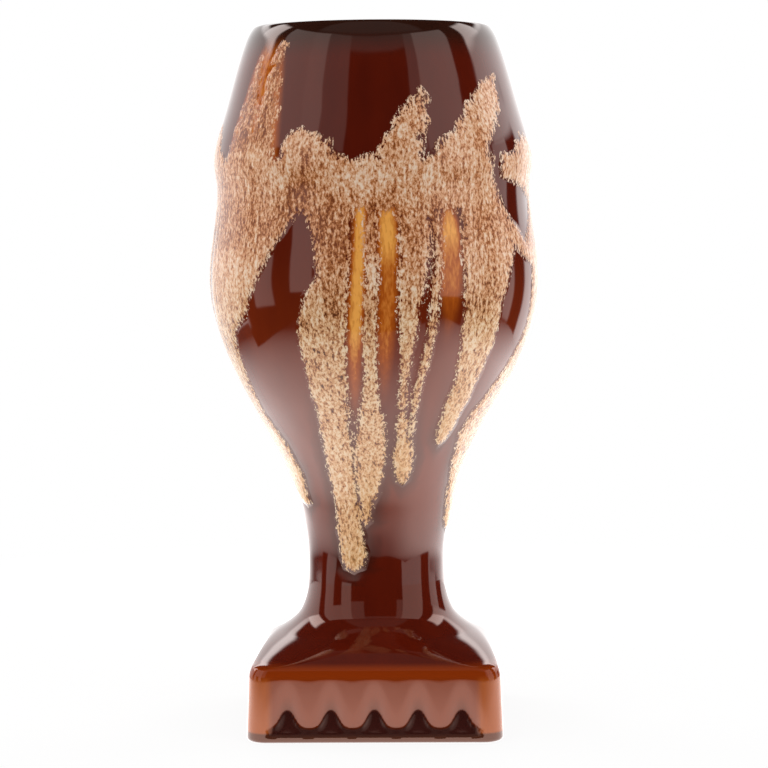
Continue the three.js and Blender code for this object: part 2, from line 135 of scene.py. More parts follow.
RUNS = {
    "left_sheet_run": [
        (190, -76, -24), (182, -76, -28), (174, -76, -34), (166, -76, -39), (148, -77, -50),
        (143.5, -80, -58.5), (136, -86, -61.5), (124, -92, -64), (113, -94, -66), (103, -92, -59),
        (90, -86, -55.5), (84, -76, -57), (80, -61, -60),
    ],
    "front_long_run": [
        (190, -25, -5), (184, -22.2, -5.5), (172, -18.4, -5.8), (163, -17.6, -6.6), (156, -22.7, -7.2),
        (144, -26, -8), (134, -26, -8.8), (121, -25.7, -9.6), (111, -26, -10.2), (101, -28.7, -10.7),
        (91, -30, -12.2), (81, -29, -11.2), (75, -28.8, -10.8), (69, -28.6, -8.4), (64, -27.4, -7),
        (57.3, -18, -16),
    ],
    "front_centre_run": [
        (190, -1.4, 3.4), (160, -1.8, 2.8), (141, -2.4, 2.2), (129, -2.1, 2.1), (121, -3.9, 2.9),
        (111, -6.3, 5.9), (101, -9.6, 7.2), (93, -10.6, 6), (87, -10.6, 2.7), (82, -9.6, -0.9),
        (74.6, -6.4, -5),
    ],
    "front_bulb_run": [
        (190, 9.6, 20), (178, 9.8, 21.6), (161, 9.8, 19), (151, 9.9, 16.8), (140, 10.5, 15.6),
        (126, 11.8, 14.6), (116, 12.5, 15), (106, 13, 18.4), (98, 12, 24), (89, 19, 20),
    ],
    "front_thread_run": [
        (190, 20, 26), (172, 22.8, 25.6), (154, 20.8, 24), (138.5, 20.2, 23), (130, 19.2, 21.8),
        (121, 17.8, 20.2), (111, 18.6, 20.8), (102, 19.5, 21.5),
    ],
    "right_broad_run": [
        (190, 33.5, 59), (181, 34, 58.7), (171, 33, 59), (163, 33.4, 55), (153, 33.6, 51),
        (140, 34, 50.5), (126, 35.8, 48), (117, 34.4, 46.2), (110, 35, 44), (103, 38, 39),
    ],
    "right_edge_run": [
        (190, 66, 95), (181, 58, 95), (174, 57, 94), (170, 62, 93), (165, 73, 92), (143, 74, 88),
        (128, 66, 84), (113, 54, 75), (105.8, 51.5, 77), (96, 57, 81), (86.4, 63, 84), (78, 66, 83),
        (70.5, 73, 76),
    ],
    "back_right_run": [
        (190, 97, 125), (168, 100, 122), (143, 103, 119), (126, 104, 117), (114, 105, 116),
        (105, 110, 111),
    ],
    "back_right_long_run": [
        (190, 127, 145), (163, 130, 142), (138, 131, 141), (108, 129, 142), (90, 130, 145),
        (78, 131, 145), (70, 138, 139),
    ],
    "back_centre_run": [
        (190, 148, 177), (168, 151, 173), (148, 152, 168), (133, 153, 165), (121, 154, 165),
        (112, 159, 160),
    ],
    "back_thin_run": [
        (190, 180.5, 190.5), (158, 182, 189), (133, 182, 188.5), (108, 181, 190), (95, 181, 192),
        (87, 186, 187),
    ],
    "back_left_long_run": [
        (190, 195, 221), (168, 199, 219), (148, 202, 218), (128, 203, 218), (103, 202, 219),
        (83, 203, 223), (72, 204, 222), (65, 212, 213),
    ],
    "back_left_run": [(190, 224, 251), (168, 228, 247), (146, 230, 243), (128, 231, 242), (119, 236, 237)],
    "left_side_run": [
        (190, 254, 283), (166, 256, 280), (144, 258, 276), (128, 259, 273), (108, 260, 272),
        (97, 265.5, 266.5),
    ],
}
# Places where the cream lets the brown show, as height and the angles of the two sides
GAPS = [
    [
        (208, 47, 54), (200, 48, 53.4), (196, 48.8, 53.6), (192, 51.4, 72), (188, 53.6, 80),
        (182, 58, 78), (178, 64, 74),
    ],
    [
        (120, -11.7, -10.3), (109, -11.4, -10.0), (101, -11.2, -9.8), (94, -12.5, -11.0),
        (82, -11.6, -9.9),
    ],
]
# Thin amber glaze between the runs: height down to which it is gold, then height and angles of its sides
AMBER = [
    (140, [
        (193, -4.4, -0.6), (184, -5.0, -0.7), (171, -5.4, -1.0), (158, -6.4, -1.7), (144, -7.4, -2.7),
        (134, -8.2, -3.6), (121, -9.0, -4.8), (110, -8.4, -6.6),
    ]),
    (172, [
        (190, 3.4, 9.4), (181, 3.3, 9.6), (167, 3.0, 9.7), (154, 2.8, 9.3), (144, 2.6, 8.6),
        (134, 2.8, 7.8), (118, 4.2, 6.6),
    ]),
    (176, [
        (188, 27.0, 30.5), (177, 25.3, 32.4), (167, 24.2, 32.8), (157, 24.0, 32.2), (150, 25.5, 31.0),
        (140, 27.0, 29.4),
    ]),
    (300, [(244, -52, -40), (232, -56, -37), (216, -59, -35), (202, -61, -33), (190, -60, -40)]),
    (172, [(192, 121, 128), (170, 122, 128), (146, 124, 127)]),
    (164, [(192, 177, 181), (165, 176.5, 181), (140, 178, 180)]),
    (168, [(192, 191.5, 196), (170, 191, 196.5), (148, 193, 195)]),
    (170, [(192, 221, 226), (172, 220.5, 226.5), (150, 222, 224)]),
]

# How the cream stands up from the bowl
CREAM_THICKNESS = 0.4
BEAD_THICKNESS = 0.35  # more of it where a run ends
GLAZE_MARGIN = 2.4  # brown glaze carried along round the cream
GATHERED_GLAZE = 0.32  # thickness of that glaze round the lower ends of the runs
CREAM_SINK = 0.05  # the edge of the margin dips under the bowl's surface
CREAM_ROOT = 0.4  # how deep the back of the cream reaches into the wall
LEAST_CREAM = 0.4  # islands that reach no further inside the cream's edge are left out

# Glaze: it bends light more than window glass, and sends it back a little warm
GLAZE_IOR = 1.6
GLAZE_ROUGHNESS = 0.06
GLAZE_TINT = "#FFE0D6"
PLINTH_TINT = "#FFD2C2"

# Table: round behind the vase, with straight sides and a straight edge in front
TABLE_RADIUS = 0.46
TABLE_HALF_WIDTH = 0.3
TABLE_SHOULDER = 0.04
TABLE_FRONT = -0.26
TABLE_LIGHT = 3.0
TABLE_DIFFUSE = 0.42  # share of that light for all but mirror reflections
TABLE_WHITE = 0.9  # as the camera sees it

# Studio light, and panels as left and right azimuth, lowest and highest angle, softness, brightness
DARK_ROOM = 0.02
ROOM_LIGHT = 0.45  # more of it for all but mirror reflections
PANELS = [
    (-92, -74, -15, 44, 0.7, 1.1),
    (-74, -59, 16, 44, 0.7, 1.1),
    (-59, -42, -8, 44, 0.7, 1.2),
    (-42, -20, 12, 44, 0.7, 0.5),
    (-20, 34, 38, 44, 0.7, 0.28),
    (34, 44, 10, 44, 0.7, 0.5),
    (44, 81, -12, 44, 0.7, 1.25),
    (-60, 60, 46, 92, 4.0, 0.2),
    (99, 117, -18, 14, 1.0, 1.25),
    (133, 200, -20, 14, 2.0, 1.9),
    (102, 200, 14, 26, 2.0, 1.9),
    (102, 130, 26, 44, 2.0, 4.0),
    (130, 200, 26, 31, 2.0, 3.0),
    (-200, -104, -20, 24, 2.0, 1.5),
    (-130, -104, 24, 44, 2.0, 4.5),
    (-200, -130, 24, 31, 2.0, 3.0),
]

# Camera, with its angles in degrees and its lens in millimetres
CAMERA_DISTANCE = 0.936
CAMERA_HEIGHT = 0.194
CAMERA_ASIDE = 0.0032
CAMERA_AZIMUTH = 1.5
CAMERA_PITCH = 4.41
CAMERA_ROLL = 0.5
CAMERA_LENS = 121.9
CAMERA_SENSOR = 36.0

# Mesh steps
BOWL_COLUMNS = 360
PLINTH_COLUMNS = 480
SLIP_COLUMNS = 128
CREAM_COLUMNS = 720
CREAM_STEP = 0.5
CREAM_SPAN = (53.0, 245.0)
SHARP_ANGLE = math.radians(50)

# Kinds of node, and settings that many nodes share
MATH = "ShaderNodeMath"
RANGE = "ShaderNodeMapRange"
MIX = "ShaderNodeMix"
NOISE = "ShaderNodeTexNoise"
MAPPING = "ShaderNodeMapping"
ATTRIBUTE = "ShaderNodeAttribute"
SMOOTH = {"interpolation_type": "SMOOTHSTEP"}
COLOUR = {"data_type": "RGBA", "out": 2}


def linear(code):
    """An sRGB hex colour as linear red, green, blue and alpha."""
    parts = [int(code[i : i + 2], 16) / 255 for i in (1, 3, 5)]
    return [c / 12.92 if c <= 0.04045 else ((c + 0.055) / 1.055) ** 2.4 for c in parts] + [1.0]


def feed(tree, node, inputs):
    """Give each of these inputs of a node a value or another node's output."""
    for key, value in inputs.items():
        if isinstance(value, bpy.types.NodeSocket):
            tree.links.new(value, node.inputs[key])
        else:
            node.inputs[key].default_value = value


def add(tree, kind, inputs=None, out=0, **settings):
    """One output of a new node, made with its settings and its inputs."""
    made = tree.nodes.new(kind)
    for key, value in settings.items():
        setattr(made, key, value)
    feed(tree, made, inputs or {})
    return made.outputs[out]


def smooth_step(low, high, value):
    """From 0 at low to 1 at high, level at both ends; low may be the larger of the two."""
    t = np.clip((value - low) / (high - low), 0, 1)
    return t * t * (3 - 2 * t)


def outline_at(height):
    """Half width and slope of the outline at each height, by a cubic between two stations."""
    height = np.asarray(height, float)
    i = np.clip(np.searchsorted(OUTLINE[:, 0], height) - 1, 0, len(OUTLINE) - 2)
    low_z, low_r, low_m = np.moveaxis(OUTLINE[i], -1, 0)
    high_z, high_r, high_m = np.moveaxis(OUTLINE[i + 1], -1, 0)
    span = high_z - low_z
    t = (height - low_z) / span
    s = 1 - t
    reach = (1 + 2 * t) * s * s * low_r + t * s * s * span * low_m
    reach += t * t * (3 - 2 * t) * high_r - t * t * s * span * high_m
    slope = 6 * t * s * (high_r - low_r) / span + s * (1 - 3 * t) * low_m + t * (3 * t - 2) * high_m
    return reach, slope


def off_outline(height, lift):
    """Radius and height of points a lift square off the outline."""
    reach, slope = outline_at(height)
    length = np.hypot(1, slope)
    return reach + lift / length, height - lift * slope / length


def round_points(radius, degrees, height):
    """Points at each radius, angle round the vase and height."""
    radians = np.radians(degrees)
    parts = np.broadcast_arrays(radius * np.sin(radians), -radius * np.cos(radians), height)
    return np.stack(parts, axis=-1).reshape(-1, 3)


def turned(profile, columns):
    """Points of a profile of radius and height turned round the vase."""
    degrees = np.arange(columns) * 360 / columns
    radius, height = np.asarray(profile).T
    return round_points(radius[:, None], degrees, height[:, None])


def ring_faces(rows, columns, closed_rows=False):
    """Quads between rings of points, each ring closed round the vase."""
    faces = []
    for i in range(rows if closed_rows else rows - 1):
        here = i * columns
        there = ((i + 1) % rows) * columns
        for j in range(columns):
            k = (j + 1) % columns
            faces.append((here + j, here + k, there + k, there + j))
    return faces


def plain_object(name, points, faces, attributes=None):
    """A mesh object from points in millimetres, smooth but for its sharp edges."""
    mesh = bpy.data.meshes.new(name)
    mesh.from_pydata((np.asarray(points) * MM).tolist(), [], [list(map(int, f)) for f in faces])
    for key, values in (attributes or {}).items():
        layer = mesh.attributes.new(key, "FLOAT", "POINT")
        layer.data.foreach_set("value", np.asarray(values, np.float32))
    mesh.shade_smooth()
    mesh.set_sharp_from_angle(angle=SHARP_ANGLE)
    mesh.update()
    made = bpy.data.objects.new(name, mesh)
    bpy.context.scene.collection.objects.link(made)
    return made


# Cream overglaze as a field round the bowl


def side_distance(rows, degrees, heights, round_tip):
    """Distance inside the sides of a run or peak, measured round the vase, with its last row as the tip."""
    marks = np.array(sorted(rows))
    low, high = marks[0, 0], marks[-1, 0]
    level = np.clip(heights, low, high)
    middle = np.interp(level, marks[:, 0], (marks[:, 1] + marks[:, 2]) / 2)
    half = np.interp(level, marks[:, 0], (marks[:, 2] - marks[:, 1]) / 2)
    if round_tip:
        last = marks[1]
        t = np.clip((last[0] - level) / (last[0] - low), 0, 1)
        rounded = (last[2] - last[1]) / 2 * np.sqrt(np.clip(1 - t * t, 0, 1))
        half = np.where(level < last[0], rounded, half)
    around = (degrees - middle + 180) % 360 - 180
    reach = outline_at(level)[0]
    inside = (half - np.abs(around)) * np.pi / 180 * reach
    return inside - np.abs(heights - level)


def soft_union(fields, blend):
    """The largest of several fields, rounded where two meet."""
    stack = np.stack(fields) / blend
    top = stack.max(axis=0)
    return blend * (top + np.log(np.exp(stack - top).sum(axis=0)))


def smoothed(values, passes):
    """A field round the bowl, averaged with its neighbours so many times."""
    for _ in range(passes):
        values = (np.roll(values, 1, axis=1) + 2 * values + np.roll(values, -1, axis=1)) / 4
        values[1:-1] = (values[:-2] + 2 * values[1:-1] + values[2:]) / 4
    return values


def wander(degrees, heights, size, seed):
    """Smooth noise from -1 to 1 on the bowl's surface, with features of this size in millimetres."""
    reach = outline_at(heights)[0]
    radians = np.radians(degrees)
    x = (reach * np.sin(radians) / size + seed).ravel()
    y = (-reach * np.cos(radians) / size).ravel()
    z = (heights / size).ravel()
    values = [noise.noise((a, b, c)) for a, b, c in zip(x.tolist(), y.tolist(), z.tolist())]
    return np.array(values).reshape(degrees.shape)


def cream_field():
    """Angles, heights, distance inside the cream's edge, number of each place's node, and node names."""
    heights = np.arange(*CREAM_SPAN, CREAM_STEP)
    degrees = np.arange(CREAM_COLUMNS) * 360 / CREAM_COLUMNS
    heights, degrees = np.meshgrid(heights, degrees, indexing="ij")
    around = (degrees + 180) % 360 - 180
    crest = np.full(around.shape, BELT_CREST)
    for middle, half, rise in BELT_HUMPS:
        crest += rise * np.exp(-(((around - middle) / half) ** 2))
    names = ["cream_belt"] + list(PEAKS) + list(RUNS)
    fields = [np.minimum(heights - BELT_FOOT + BELT_UNDERLAP, crest - heights)]
    fields += [side_distance(rows, degrees, heights, False) for rows in PEAKS.values()]
    fields += [side_distance(rows, degrees, heights, True) for rows in RUNS.values()]
    inside = soft_union(fields, 0.6)
    for rows in GAPS:
        inside = np.minimum(inside, -side_distance(rows, degrees, heights, False))

    # The edge wanders by half a millimetre, and is ragged along the top of the belt and on the peaks
    ragged = smooth_step(196, 206, heights)
    inside += 0.55 * wander(degrees, heights, 7.0, 3.1) + 0.5 * wander(degrees, heights, 2.4, 1.7)
    inside += (0.3 + 2.2 * ragged) * wander(degrees, heights, 3.4, 9.7)
    inside += 1.5 * ragged * wander(degrees, heights, 1.8, 6.2)

    # Where the field changes faster than distance does, it is brought back to a distance
    step = np.radians(360 / CREAM_COLUMNS) * outline_at(heights)[0]
    along = (np.roll(inside, -1, axis=1) - np.roll(inside, 1, axis=1)) / (2 * step)
    up = np.gradient(inside, CREAM_STEP, axis=0)
    inside = smoothed(inside / np.maximum(1.0, np.hypot(along, up)), 2)

    stack = np.stack(fields)
    count = len(PEAKS)
    upper = 1 + stack[1 : 1 + count].argmax(axis=0)
    lower = 1 + count + stack[1 + count :].argmax(axis=0)
    by_peak = stack[1 : 1 + count].max(axis=0) > -PEAK_REACH
    above = by_peak & (heights > np.maximum(BELT_TOP, crest + 2))
    owner = np.where(above, upper, np.where(heights < BELT_FOOT, lower, 0))
    return degrees, heights, inside, owner, names


def amber_at(degrees, heights):
    """How much thin amber glaze lies on the brown, from 0 to 1."""
    share = np.zeros(degrees.shape)
    for gold, rows in AMBER:
        low, high = rows[-1][0], rows[0][0]
        across = smooth_step(-1.5, 2.0, side_distance(rows, degrees, heights, False))
        along = smooth_step(low - 4, low + 22, heights) * smooth_step(high + 4, high - 6, heights)
        tone = 0.5 + 0.5 * smooth_step(gold - 9, gold + 5, heights) * smooth_step(high, high - 11, heights)
        share = np.maximum(share, across * along * tone)
    return share


def run_end(degrees, heights):
    """How near a place is to the foot of its run, from 0 to 1, where the cream gathers in a bead."""
    near = np.zeros(degrees.shape)
    for rows in RUNS.values():
        low = min(rows)[0]
        inside = side_distance(rows, degrees, heights, True)
        near = np.maximum(near, smooth_step(-6, 0, inside) * smooth_step(low + 34, low + 4, heights))
    return near


def dark_halo(degrees, heights, inside):
    """How much the brown is drawn together, dark, along the edges of the runs, from 0 to 1."""
    near = smooth_step(-6.0, -0.8, inside) * smooth_step(135, 95, heights)
    return near * (1 - np.clip(1.6 * amber_at(degrees, heights), 0, 1))


def gathered(heights, inside):
    """Height of the brown glaze that has gathered round the lower ends of the runs."""
    rise = smooth_step(-8.0, 0.5, inside) * smooth_step(140, 95, heights) * smooth_step(52, 58, heights)
    return GATHERED_GLAZE * smoothed(rise, 40)


def thinness_and_highlight(degrees, heights):
    """How thin the cream lies: most under the belt, on the two streaks and by the left hollow, up to 1; least
    at the front of the shoulder ledge, where paler cream is a painted highlight.
    """
    around = (degrees + 180) % 360 - 180
    under_belt = 0.5 * np.exp(-(((heights - 181) / 9) ** 2))
    streaks = 0.85 * smooth_step(203, 210, heights) * smooth_step(-66, -61, around)
    streaks *= smooth_step(-31, -36, around)
    left_side = 0.4 * smooth_step(170, 186, heights) * smooth_step(-84, -76, around)
    left_side *= smooth_step(-42, -56, around)
    hollow = 0.75 * np.exp(-(((around + 25) / 5) ** 2) - ((heights - 188) / 9) ** 2)
    long_run = 0.55 * np.exp(-(((around + 13) / 7) ** 2) - ((heights - 165) / 17) ** 2)
    patches = 0.5 * wander(degrees, heights, 12.0, 5.3)
    # Paler cream at the front of the shoulder ledge is a painted highlight
    ledge_highlight = 0.7 * np.exp(-(((around - 2) / 10) ** 2) - ((heights - 195) / 5) ** 2)
    return np.clip(under_belt + streaks + left_side + hollow + long_run + patches - ledge_highlight, -0.5, 1)


def without_specks(quads, inside):
    """Faces but for the islands of margin that hold hardly any cream of their own."""
    used, local = np.unique(quads, return_inverse=True)
    local = local.reshape(quads.shape)
    label = np.arange(len(used))
    settled = False
    while not settled:
        lower = label.copy()
        np.minimum.at(lower, local, label[local].min(axis=1, keepdims=True))
        lower = lower[lower]
        settled = np.array_equal(lower, label)
        label = lower
    island = label[local[:, 0]]
    richest = np.full(len(used), -np.inf)
    np.maximum.at(richest, island, inside[quads].max(axis=1))
    return quads[richest[island] > LEAST_CREAM]


def cream_shells(field):
    """The cream as one closed shell for each node, cut from one field so that they join without a step."""
    degrees, heights, inside, owner, names = field
    rows, columns = inside.shape
    bead = run_end(degrees, heights)
    thickness = (CREAM_THICKNESS + BEAD_THICKNESS * bead) * (1 - 0.5 * smooth_step(200, 212, heights))
    lift = thickness * smooth_step(-2.2, 2.4, inside) + gathered(heights, inside) - CREAM_SINK
    layers = {
        "cover": inside,
        "bead": bead,
        "amber": amber_at(degrees, heights),
        "halo": dark_halo(degrees, heights, inside),
        "thin": thinness_and_highlight(degrees, heights),
    }

    front_radius, front_height = off_outline(heights, lift)
    back_radius, back_height = off_outline(heights, np.full(lift.shape, -CREAM_ROOT))
    front = round_points(front_radius, degrees, front_height)
    back = round_points(back_radius, degrees, back_height)
    ids = np.arange(rows * columns).reshape(rows, columns)
    right = np.roll(ids, -1, axis=1)
    quads = np.stack([ids[:-1], right[:-1], right[1:], ids[1:]], axis=-1).reshape(-1, 4)
    quads = quads[inside.ravel()[quads].max(axis=1) > -GLAZE_MARGIN]
    owners = owner.ravel()[quads[:, 0]]
    shells = {}
    for index, name in enumerate(names):
        mine = without_specks(quads[owners == index], inside.ravel())
        used, local = np.unique(mine, return_inverse=True)
        local = local.reshape(mine.shape)
        count = len(used)
        edges = np.concatenate([local[:, [a, (a + 1) % 4]] for a in range(4)])
        keys = np.sort(edges, axis=1)
        keys = keys[:, 0] * count + keys[:, 1]
        _, first, times = np.unique(keys, return_index=True, return_counts=True)
        rim = edges[first[times == 1]]
        rim_faces = np.stack([rim[:, 1], rim[:, 0], rim[:, 0] + count, rim[:, 1] + count], axis=-1)
        faces = np.concatenate([local, local[:, ::-1] + count, rim_faces])
        points = np.concatenate([front[used], back[used]])
        values = {key: np.tile(layer.ravel()[used], 2) for key, layer in layers.items()}
        shells[name] = plain_object(name + "_glaze", points, faces, values)
    return shells


# Bowl, stem and the ring of slip inside the joint


def bowl_piece(field):
    """The bowl with its lip and stem, and what its glaze needs to know of the cream near by."""
    outer_heights = np.arange(JOINT_HEIGHT, LIP_HEIGHT + 0.5, 1.0)
    outer = np.stack([outline_at(outer_heights)[0], outer_heights], axis=-1)
    inner = np.stack(off_outline(np.linspace(JOINT_HEIGHT, LIP_HEIGHT, 50), -BOWL_WALL), axis=-1)
    inner[0, 1] = JOINT_HEIGHT
    middle = (outer[-1] + inner[-1]) / 2
    arm = outer[-1] - middle
    lip = []
    for turn in np.linspace(0, np.pi, 15)[1:-1]:
        c, s = math.cos(turn), math.sin(turn)
        lip.append(middle + (arm[0] * c - arm[1] * s, arm[0] * s + arm[1] * c))
    profile = np.concatenate([outer, lip, inner[::-1]])
    points = turned(profile, BOWL_COLUMNS).reshape(len(profile), BOWL_COLUMNS, 3)
    degrees = np.tile(np.arange(BOWL_COLUMNS) * 360 / BOWL_COLUMNS, (len(profile), 1))
    heights = np.clip(np.repeat(profile[:, 1:], BOWL_COLUMNS, axis=1), JOINT_HEIGHT, LIP_HEIGHT)

    grid_heights, grid_inside = field[1], field[2]
    row = np.rint((heights - grid_heights[0, 0]) / CREAM_STEP)
    row = np.clip(row, 0, len(grid_inside) - 1).astype(int)
    column = np.rint(degrees * CREAM_COLUMNS / 360).astype(int) % CREAM_COLUMNS
    rise = gathered(grid_heights, grid_inside)[row, column][: len(outer)] / outer[:, :1]
    points[: len(outer), :, :2] *= 1 + rise[:, :, None]
    halo = dark_halo(degrees, heights, grid_inside[row, column])
    layers = {"amber": amber_at(degrees, heights), "halo": halo}
    for layer in layers.values():
        layer[len(outer) :] = 0
    layers = {key: layer.ravel() for key, layer in layers.items()}
    faces = ring_faces(len(profile), BOWL_COLUMNS, closed_rows=True)
    return plain_object("glazed_bowl", points.reshape(-1, 3), faces, layers)


def slip_ring_piece():
    """Slip that squeezed out inside the joint and was wiped to a low bead."""
    bore = outline_at(JOINT_HEIGHT)[0] - BOWL_WALL
    low, high = JOINT_HEIGHT - SLIP_HALF_HEIGHT, JOINT_HEIGHT + SLIP_HALF_HEIGHT
    turns = np.linspace(0, np.pi, 13)
    bulge = bore + SLIP_SUNK - SLIP_BULGE * np.sin(turns)
    bulge = np.stack([bulge, JOINT_HEIGHT + SLIP_HALF_HEIGHT * np.cos(turns)], axis=-1)
    back = np.array([[bore + SLIP_ROOT, low], [bore + SLIP_ROOT, high]])
    profile = np.concatenate([back, bulge])
    faces = ring_faces(len(profile), SLIP_COLUMNS, closed_rows=True)
    return plain_object("slip_ring", turned(profile, SLIP_COLUMNS), faces)


# Plinth


def square_ring(half, corner, degrees):
    """Radius of a square with round corners at each angle; with a corner of the half width it is a circle."""
    fold = np.radians(np.abs((degrees + 45) % 90 - 45))
    flat = half - corner
    c, s = np.cos(fold), np.sin(fold)
    on_corner = flat * (c + s) + np.sqrt(np.clip(corner**2 - (flat * (c - s)) ** 2, 0, None))
    return np.where(s * half <= flat * c, half / c, on_corner)


def face_at(height):
    """Half width of the plinth, which leans in a little and rounds off to its top edge."""
    t = max(0.0, height - ROUND_FROM) / (PLINTH_HEIGHT - ROUND_FROM)
    return PLINTH_HALF - PLINTH_DRAFT * height / PLINTH_HEIGHT - t**2


def flare_corner(height, half):
    """Corner radius of the flare, swelling fast to a full circle well under the joint."""
    t = np.clip((height - PLINTH_HEIGHT) / (FLARE_ROUND_AT - PLINTH_HEIGHT), 0, 1)
    return PLINTH_CORNER + (half - PLINTH_CORNER) * t**FLARE_SWELL


def plinth_blank():
    """The plinth before its flutes, as closed rings, with what the flutes need to know at each point."""
    columns = PLINTH_COLUMNS
    degrees = np.arange(columns) * 360 / columns

    # Rings as half width, corner radius and height: up the outside to the joint
    rings = []
    for turn in np.linspace(0, np.pi / 2, 6):
        inset = FOOT_EDGE * (1 - math.sin(turn))
        height = FOOT_EDGE * (1 - math.cos(turn))
        rings.append((face_at(height) - inset, PLINTH_CORNER - inset, height))
    for height in np.linspace(FOOT_EDGE, PLINTH_HEIGHT, 44)[1:]:
        rings.append((face_at(height), PLINTH_CORNER, height))
    for height in np.linspace(PLINTH_HEIGHT, JOINT_HEIGHT, 42)[1:]:
        half = float(outline_at(height)[0])
        rings.append((half, float(flare_corner(height, half)), height))
    outer_count = len(rings)

    # Down the inside to the floor
    for height in np.linspace(JOINT_HEIGHT, PLINTH_HEIGHT + 2.3, 22):
        share = (height - PLINTH_HEIGHT) / (JOINT_HEIGHT - PLINTH_HEIGHT)
        wall = PLINTH_WALL + (BOWL_WALL - PLINTH_WALL) * share
        radius, level = off_outline(height, -wall)
        half = float(outline_at(height)[0])
        rings.append((float(radius), float(flare_corner(height, half) / half * radius), float(level)))
    rings[outer_count] = (rings[outer_count][0], rings[outer_count][0], JOINT_HEIGHT)
    floor_half = face_at(BASE_TOP) - PLINTH_WALL
    for height in np.linspace(rings[-1][2], BASE_TOP + 2, 8)[1:]:
        rings.append((floor_half, INNER_CORNER, height))
    for half, rise in ((floor_half - 0.6, 0.6), (floor_half - 2, 0.6), (24, 0), (10, 0)):
        rings.append((half, min(INNER_CORNER, half), BASE_TOP + rise))
    inner_count = len(rings)

    # From the middle of the recess under the base out to the foot rim
    rim_half = PLINTH_HALF - FOOT_RIM
    under = [
        (10, FOOT_RECESS),
        (24, FOOT_RECESS),
        (rim_half - 2.4, FOOT_RECESS),
        (rim_half - 1.2, 1.5),
        (rim_half, 0.0),
        (PLINTH_HALF - 4, 0.0),
    ]
    rings += [(half, min(INNER_CORNER, half), height) for half, height in under]
    points = []
    for half, corner, height in rings:
        points.append(round_points(square_ring(half, corner, degrees), degrees, height))
    points = np.concatenate(points)

    faces = ring_faces(inner_count, columns)
    under_start = inner_count * columns
    faces += [tuple(under_start + i for i in f) for f in ring_faces(len(under), columns)]
    last = (len(rings) - 1) * columns
    for j in range(columns):
        k = (j + 1) % columns
        faces.append((last + j, last + k, k, j))
    floor_ring = (inner_count - 1) * columns
    faces.append(tuple(floor_ring + j for j in range(columns)))
    faces.append(tuple(under_start + j for j in reversed(range(columns))))

    outside = np.arange(len(points)) < outer_count * columns
    front = np.abs(points[:, 1]) > np.abs(points[:, 0])
    across = np.where(front, points[:, 0], points[:, 1])
    upright = outside * smooth_step(FLUTES_END, FLUTED_HALF, np.abs(across)) * (points[:, 2] < PLINTH_HEIGHT)
    bare = np.zeros(len(points))
    bare[(inner_count + 3) * columns :] = 1
    values = {"across": across, "upright": upright, "turned_side": ~front, "bare": bare}
    return plain_object("glazed_plinth", points, faces, values)


